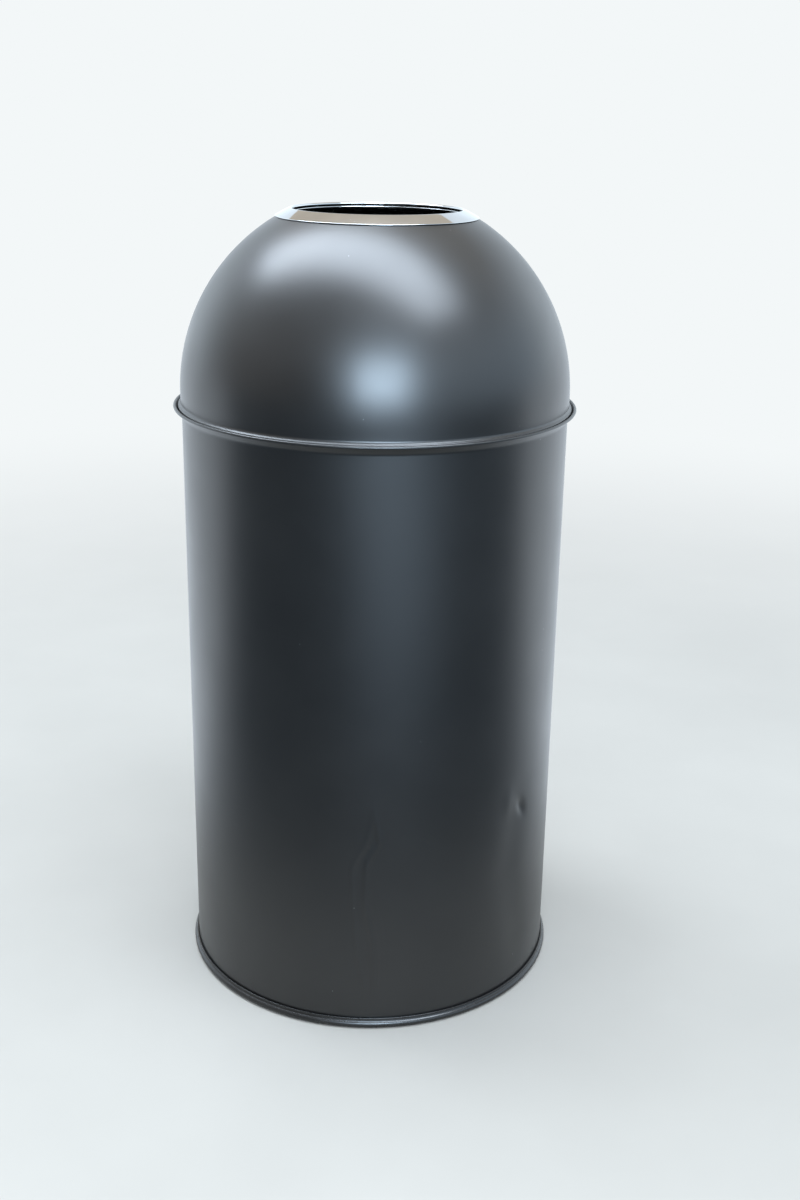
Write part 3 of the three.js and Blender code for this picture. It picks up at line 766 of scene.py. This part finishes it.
def liner_bead(crest):
    """The wall's middle line over one bead."""
    height = crest + np.linspace(-1, 1, 17) * LINER_BEAD_WIDTH * BEAD_REACH
    return np.column_stack([wall_middle(height), height])


def liner_shift(angle, radius, height):
    """The lock seam down the liner's side."""
    foot = LINER_FOOT + BOTTOM_LIFT
    top = LINER_RIM_TOP - 3 * LINER_ROLL
    return lap_seam(
        angle, radius, height, LINER_SEAM, wall_middle(height),
        LINER_SEAM_HALF_TURN, LINER_SEAM_SLOPE_TURN, foot, top, LINER_SEAM_RISE,
    )


def liner_wall():
    """The lip under the bottom, the tapered wall with its beads, the straight band and the rolled rim."""
    beads = [liner_bead(crest) for crest in BEAD_CRESTS]
    foot = LINER_FOOT + STEEL / 2
    corners = [(LINER_FOOT_MIDDLE - LINER_FOOT_LIP, foot), (LINER_FOOT_MIDDLE, foot), beads[0][0]]
    wall = joined(bent(corners, LINER_FOOT_BEND), *beads, [(LINER_MIDDLE, LINER_BAND_FOOT)])
    roll = arc(LINER_ROLL_CENTRE, LINER_ROLL, 180, 180 - LINER_ROLL_TURN, 26)
    angles = seam_angles(LINER_SEAM, LINER_SEAM_HALF_TURN, LINER_SEAM_SLOPE_TURN)
    grid = turned(sheet(joined(spaced(wall, WALL_ROW), roll)), angles, liner_shift)
    made = piece("liner_wall_rolled", grid, GALVANISED, "liner")
    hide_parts("liner_wall")


def liner_bottom():
    """A panel with its edge turned down inside the wall."""
    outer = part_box("liner_bottom")[1].x - STEEL / 2
    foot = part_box("liner_bottom")[0].z
    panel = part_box("liner_bottom")[1].z - STEEL / 2
    corners = [(outer, foot), (outer, panel), (0, panel)]
    grid = disc(spaced(bent(corners, BOTTOM_BEND), PANEL_ROW))
    made = piece("liner_bottom_pressed", grid, GALVANISED, "liner")
    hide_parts("liner_bottom")


def liner_rim_wire():
    """The wire in the rolled rim."""
    outline = arc(LINER_ROLL_CENTRE, RIM_WIRE, 0, 360, 14)[:-1]
    made = piece("liner_rim_wire_drawn", turned(outline), WIRE, "liner")
    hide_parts("liner_rim_wire")


HOOP_EASE = 1.5  # degrees between the corner's end and the hoop's first point


def bail_handle():
    """The bail's path in its own plane, laid back about the pivots until it lies on the liner."""
    bridge = EAR_FACE + EAR_STAND_OFF
    corner = (BAIL_RADIUS - BAIL_CORNER, BAIL_CORNER)
    hoop_start = math.degrees(math.asin(BAIL_CORNER / BAIL_RADIUS)) + HOOP_EASE
    half = joined(
        np.array([[bridge - HOOK_BEND, HOOK_BEND + HOOK_LENGTH]]),
        arc((bridge, HOOK_BEND), HOOK_BEND, 180, 270, 8),
        arc(corner, BAIL_CORNER, -90, 0, 8),
        arc((0, 0), BAIL_RADIUS, hoop_start, 90, 80),
    )
    path = joined(half, (half * (-1, 1))[-2::-1])
    section = arc((0, 0), BAIL_WIRE, 0, 360, 16)[:-1]
    grid = swept(path, section)
    hang = math.acos((LINER_MIDDLE + STEEL / 2 + SEAT_GAP + BAIL_WIRE) / BAIL_RADIUS)
    turn = np.array(Matrix.Rotation(-hang, 3, "X"))
    grid = grid @ turn.T + (0, 0, PIVOT_HEIGHT)
    made = piece("bail_wire_bent", grid, WIRE, "bail", wrap_rows=False, caps=True)
    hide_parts("bail_handle")


RIVET_COLUMNS = 28


def ear_rivets():
    """Crowned heads outside and flat tails inside, turned about Z, laid along X and spun round to the ears."""
    head = EAR_FACE + EAR_STEEL + SEAT_GAP
    tail = LINER_MIDDLE - STEEL / 2 - SEAT_GAP
    for side, end in (("right", "front"), ("right", "back"), ("left", "front"), ("left", "back")):
        node = f"ear_rivet_{side}_{end}"
        low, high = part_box(node)
        angle = math.atan2((low.y + high.y) / 2, (low.x + high.x) / 2)
        shank = [
            (0, tail - RIVET_TAIL_HEIGHT),
            (RIVET_TAIL_RADIUS, tail - RIVET_TAIL_HEIGHT),
            (RIVET_TAIL_RADIUS, tail),
            (RIVET_RADIUS, tail),
            (RIVET_RADIUS, head),
        ]
        crown = arc((0, 0), 1, 0, 90, 8) * (RIVET_HEAD_RADIUS, RIVET_HEAD_HEIGHT) + (0, head)
        outline = joined(np.array(shank), crown)
        grid = turned(outline, np.linspace(0, 2 * math.pi, RIVET_COLUMNS, endpoint=False))
        flat = grid.reshape(-1, 3)[:, [2, 0, 1]]
        spin = np.array(Matrix.Rotation(angle, 3, "Z"))
        grid = (flat @ spin.T + (0, 0, PIVOT_HEIGHT)).reshape(grid.shape)
        made = piece(f"rivet_{side}_{end}", grid, WIRE, "liner", wrap_columns=False)
        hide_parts(node)


# ---- Stage, light and camera -------------------------------------------------------------------------------

# The camera is fitted to the outlines of the rim, the mouth and the foot in the photograph.
CAMERA_DISTANCE = 1.3859
CAMERA_HEIGHT = 0.8598
CAMERA_TURNS = (19.218, 1.116, 0.957)  # down, to the right, and the photograph's slight roll, in degrees
LENS_MM = 43.55
SENSOR_MM = 36


def camera():
    """The photograph's camera, straight in front of the bin."""
    down, right_turn, roll = (math.radians(turn) for turn in CAMERA_TURNS)
    level = math.cos(down)
    ahead = Vector((math.sin(right_turn) * level, math.cos(right_turn) * level, -math.sin(down)))
    right = Vector((math.cos(right_turn), -math.sin(right_turn), 0))
    up = right.cross(ahead)
    rolled_right = math.cos(roll) * right + math.sin(roll) * up
    rolled_up = math.cos(roll) * up - math.sin(roll) * right
    data = bpy.data.cameras.new("camera")
    data.lens = LENS_MM
    data.sensor_width = SENSOR_MM
    made = placed("camera", data)
    turn = Matrix((rolled_right, rolled_up, -ahead)).transposed().to_4x4()
    made.matrix_world = Matrix.Translation((0, -CAMERA_DISTANCE, CAMERA_HEIGHT)) @ turn
    bpy.context.scene.camera = made


def direction(azimuth, elevation):
    """A unit vector: azimuth from -Y towards +X, elevation above the floor, in degrees."""
    side, lift = math.radians(azimuth), math.radians(elevation)
    return Vector((math.sin(side) * math.cos(lift), -math.cos(side) * math.cos(lift), math.sin(lift)))


def soft_panel(name, place, target, size, radiance, colour, spin=0.0):
    """A rectangular soft lamp of even radiance, which faces a point and stays out of the camera's sight."""
    data = bpy.data.lights.new(name, "AREA")
    data.shape = "RECTANGLE"
    data.size, data.size_y = size
    data.energy = radiance * math.pi * size[0] * size[1]
    data.color = linear(colour)[:3]
    made = placed(name, data)
    facing = (target - place).to_track_quat("-Z", "Y").to_matrix().to_4x4()
    made.matrix_world = Matrix.Translation(place) @ facing @ Matrix.Rotation(spin, 4, "Z")
    made.visible_camera = False
    return made


# Both lamps stand where their reflections on the dome and the trim put them.
FLASH_PLACE = Vector((0.092, -1.431, 0.961))
FLASH_TARGET = Vector((0, 0, 0.62))
FLASH_SIZE = (0.66, 0.56)
FLASH_RADIANCE = 4.9
FLASH_GLARE = 16.5
STRIP_PLACE = Vector((-0.278, -0.025, 2.5))
STRIP_TARGET = Vector((STRIP_PLACE.x, STRIP_PLACE.y, 0))
STRIP_SIZE = (4.0, 0.96)
STRIP_TURN = math.radians(-33)
STRIP_RADIANCE = 4.3
STRIP_GLARE = 9.8
GLARE_NEARER = 0.02  # of the way to the lamp's target


def lamps():
    """A soft flash over the camera and a ceiling strip, each with a brighter glare for gloss alone."""
    soft_panel("flash", FLASH_PLACE, FLASH_TARGET, FLASH_SIZE, FLASH_RADIANCE, "#ffffff")
    soft_panel("strip", STRIP_PLACE, STRIP_TARGET, STRIP_SIZE, STRIP_RADIANCE, "#fdfeff", STRIP_TURN)
    # The photograph is overexposed, and its gloss shows that: the glare adds as much to reflections alone.
    # It stands a little nearer, because a lamp hides another one at the same distance. It is left out of
    # diffuse light, and of the floor and the bare metal, whose colours then render as they are written.
    nearer = FLASH_PLACE.lerp(FLASH_TARGET, GLARE_NEARER)
    lower = STRIP_PLACE.lerp(STRIP_TARGET, GLARE_NEARER)
    glare = [
        soft_panel("flash_glare", nearer, FLASH_TARGET, FLASH_SIZE, FLASH_GLARE, "#bfe2ff"),
        soft_panel("strip_glare", lower, STRIP_TARGET, STRIP_SIZE, STRIP_GLARE, "#d6eaff", STRIP_TURN),
    ]
    dark_gloss = bpy.data.collections.new("dark_gloss_and_trim")
    for made in bpy.context.scene.objects:
        if made.type == "MESH" and made.active_material in (COAT, VINYL, CHROME):
            dark_gloss.objects.link(made)
    for lamp in glare:
        lamp.visible_diffuse = False
        lamp.light_linking.receiver_collection = dark_gloss


BACKGROUND = "#f3f7f8"
PLAIN_LEVEL = 0.6  # of the world's light on all but gloss
BACKDROP_TOP = Vector((-0.655, -0.55, 1)).normalized()  # normal of the plane through its slanting top edge
BACKDROP_SIDE = Vector((1.121, -0.123, 1)).normalized()  # and of the one through its left edge
GLOW_AIM = (4, 24)  # azimuth and elevation of the light that spreads round the flash, in degrees


def product(tree, first, *others):
    for other in others:
        first = add(tree, "Math", {"operation": "MULTIPLY"}, _0=first, _1=other).outputs[0]
    return first


def reverse(tree, value):
    return add(tree, "Math", {"operation": "SUBTRACT", 0: 1.0}, _1=value).outputs[0]


def rise(tree, value, start, stop):
    """A smooth step from 0 to 1."""
    settings = {"From Min": start, "From Max": stop, "interpolation_type": "SMOOTHSTEP"}
    return add(tree, "MapRange", settings, Value=value).outputs["Result"]


def toward(tree, place, aim):
    """How far a direction points towards another: the cosine between them."""
    return add(tree, "VectorMath", {"operation": "DOT_PRODUCT", 1: tuple(aim)}, _0=place).outputs["Value"]


def mix(tree, share, first, second):
    """One shader gives way to another as the share goes from 0 to 1."""
    return add(tree, "MixShader", _0=share, _1=first.outputs[0], _2=second.outputs[0])


def room():
    """The room for gloss, a plain level for all other light, and a plain pale ground for the camera."""
    world = bpy.data.worlds.new("white_room")
    world.use_nodes = True
    world.node_tree.nodes.clear()
    place = add(world, "TexCoord").outputs["Generated"]
    axes = add(world, "SeparateXYZ", Vector=place)
    side, depth, height = (axes.outputs[name] for name in "XYZ")
    behind = rise(world, depth, 0.0, 0.7)
    front = reverse(world, behind)
    high = rise(world, height, 0.25, 0.75)
    low = reverse(world, high)
    right = rise(world, side, 0.1, 0.8)
    left = rise(world, side, -0.5, -0.95)
    upper = rise(world, height, 0.12, 0.55)
    aside = rise(world, add(world, "Math", {"operation": "ABSOLUTE"}, _0=side).outputs[0], 0.35, 0.8)
    # Above the backdrop's slanting top edge the unlit room shows.
    over_top = rise(world, toward(world, place, BACKDROP_TOP), 0, 0.01)
    over_side = rise(world, toward(world, place, BACKDROP_SIDE), 0, 0.01)
    unlit = product(world, over_top, over_side, rise(world, depth, 0.1, 0.2))
    lit = reverse(world, unlit)
    backdrop = product(world, behind, low, lit)
    glow = rise(world, toward(world, place, direction(*GLOW_AIM)), 0.8, 1.0)
    layers = [
        (backdrop, "#e4f3ff", 1.4),
        (product(world, backdrop, aside), "#e4f3ff", 0.8),
        (product(world, behind, high, lit), "#e9f4ff", 1.15),
        (unlit, "#dad0c0", 0.92),
        (product(world, right, front, low), "#cfe9ff", 1.75),
        (product(world, left, front, low), "#f2f5f8", 0.5),
        (product(world, upper, front), "#f0f8ff", 0.65),
        (glow, "#dceeff", 1.7),
    ]
    walls = add(world, "Background", {"Color": linear("#fff6ec"), "Strength": 0.13})
    for share, colour, strength in layers:
        level = add(world, "Math", {"operation": "MULTIPLY", 1: strength}, _0=share).outputs[0]
        layer = add(world, "Background", {"Color": linear(colour)}, Strength=level)
        walls = add(world, "AddShader", _0=walls.outputs[0], _1=layer.outputs[0])
    plain = add(world, "Background", {"Color": linear("#fafcfd"), "Strength": PLAIN_LEVEL})
    ground = add(world, "Background", {"Color": linear(BACKGROUND), "Strength": 1.0})
    path = add(world, "LightPath")
    lighting = mix(world, path.outputs["Is Glossy Ray"], plain, walls)
    surface = mix(world, path.outputs["Is Camera Ray"], lighting, ground)
    add(world, "OutputWorld", Surface=surface.outputs[0])
    bpy.context.scene.world = world


FLOOR_REACH = 40.0
# The floor emits a painted sheen of the flash for gloss; these set where it lies and how strong it is.
SHEEN_PLACE = (0.45, -1.9, 0)  # middle of the flash's sheen on the floor
DIM_SHEEN = 0.3  # level of the floor that gloss sees, away from the sheen
FULL_SHEEN = 2.8  # and in the middle of it


def pale_floor_and_painted_sheen():
    """Pale grey flooring with a slight mottle, which turns into the plain ground away from the bin. For gloss
    alone it glows with painted light: a painted sheen of the flash in front and a painted reflection of a
    bright floor behind.
    """
    material = new_material("pale_floor_and_painted_sheen")
    place = add(material, "TexCoord").outputs["Object"]
    mottle = spread(material, noise(material, place, 0.25, 4), 0.3, 0.7, 0, 1)
    colour = blend_colours(material, mottle, "#cfd4d5", "#d5dadb")
    lit = add(material, "BsdfPrincipled", {"Roughness": 0.5, "IOR": 1.35}, Base_Color=colour)
    ground = add(material, "Emission", {"Color": linear(BACKGROUND), "Strength": 1.0})
    # Gloss sees painted light here: the floor glows as a painted reflection of a dim floor in front, with a
    # painted sheen of the flash on it, and as a painted reflection of a bright floor behind.
    from_sheen = add(material, "VectorMath", {"operation": "DISTANCE", 1: SHEEN_PLACE}, _0=place)
    near_sheen = reverse(material, rise(material, from_sheen.outputs["Value"], 0.1, 1.2))
    sheen = spread(material, near_sheen, 0, 1, DIM_SHEEN, FULL_SHEEN)
    dim = add(material, "Emission", {"Color": linear("#cfe8ff")}, Strength=sheen)
    bright = add(material, "Emission", {"Color": linear("#eaf5ff"), "Strength": 1.85})
    behind = rise(material, add(material, "SeparateXYZ", Vector=place).outputs["Y"], -0.3, 0.4)
    painted_floor_reflection = mix(material, behind, dim, bright)
    path = add(material, "LightPath")
    away = add(material, "VectorMath", {"operation": "LENGTH"}, _0=place).outputs["Value"]
    seen = product(material, rise(material, away, 0.5, 2.6), path.outputs["Is Camera Ray"])
    gloss = product(material, rise(material, away, 0.22, 0.7), path.outputs["Is Glossy Ray"])
    surface = mix(material, gloss, mix(material, seen, lit, ground), painted_floor_reflection)
    add(material, "OutputMaterial", Surface=surface.outputs[0])
    return material


def floor():
    """A wide floor. It belongs to the stage and not to the bin."""
    mesh = bpy.data.meshes.new("floor")
    corners = np.array([(-1, -1, 0), (1, -1, 0), (1, 1, 0), (-1, 1, 0)]) * FLOOR_REACH
    mesh.from_pydata(corners.tolist(), [], [(0, 1, 2, 3)])
    mesh.materials.append(pale_floor_and_painted_sheen())
    placed("floor", mesh)


body_shell()
base_pan()
floor_ring()
dome_shell()
dome_collar()
trim_ring()
trim_clamp_ring()
liner_wall()
liner_bottom()
liner_rim_wire()
bail_handle()
ear_rivets()

# The ears keep their CAD meshes and take the liner's finish.
for ear in ("bail_ear_right", "bail_ear_left"):
    for slot in frame["nodes"][ear].material_slots:
        slot.material = GALVANISED

floor()
room()
lamps()
camera()
bpy.context.scene.view_settings.view_transform = "Standard"
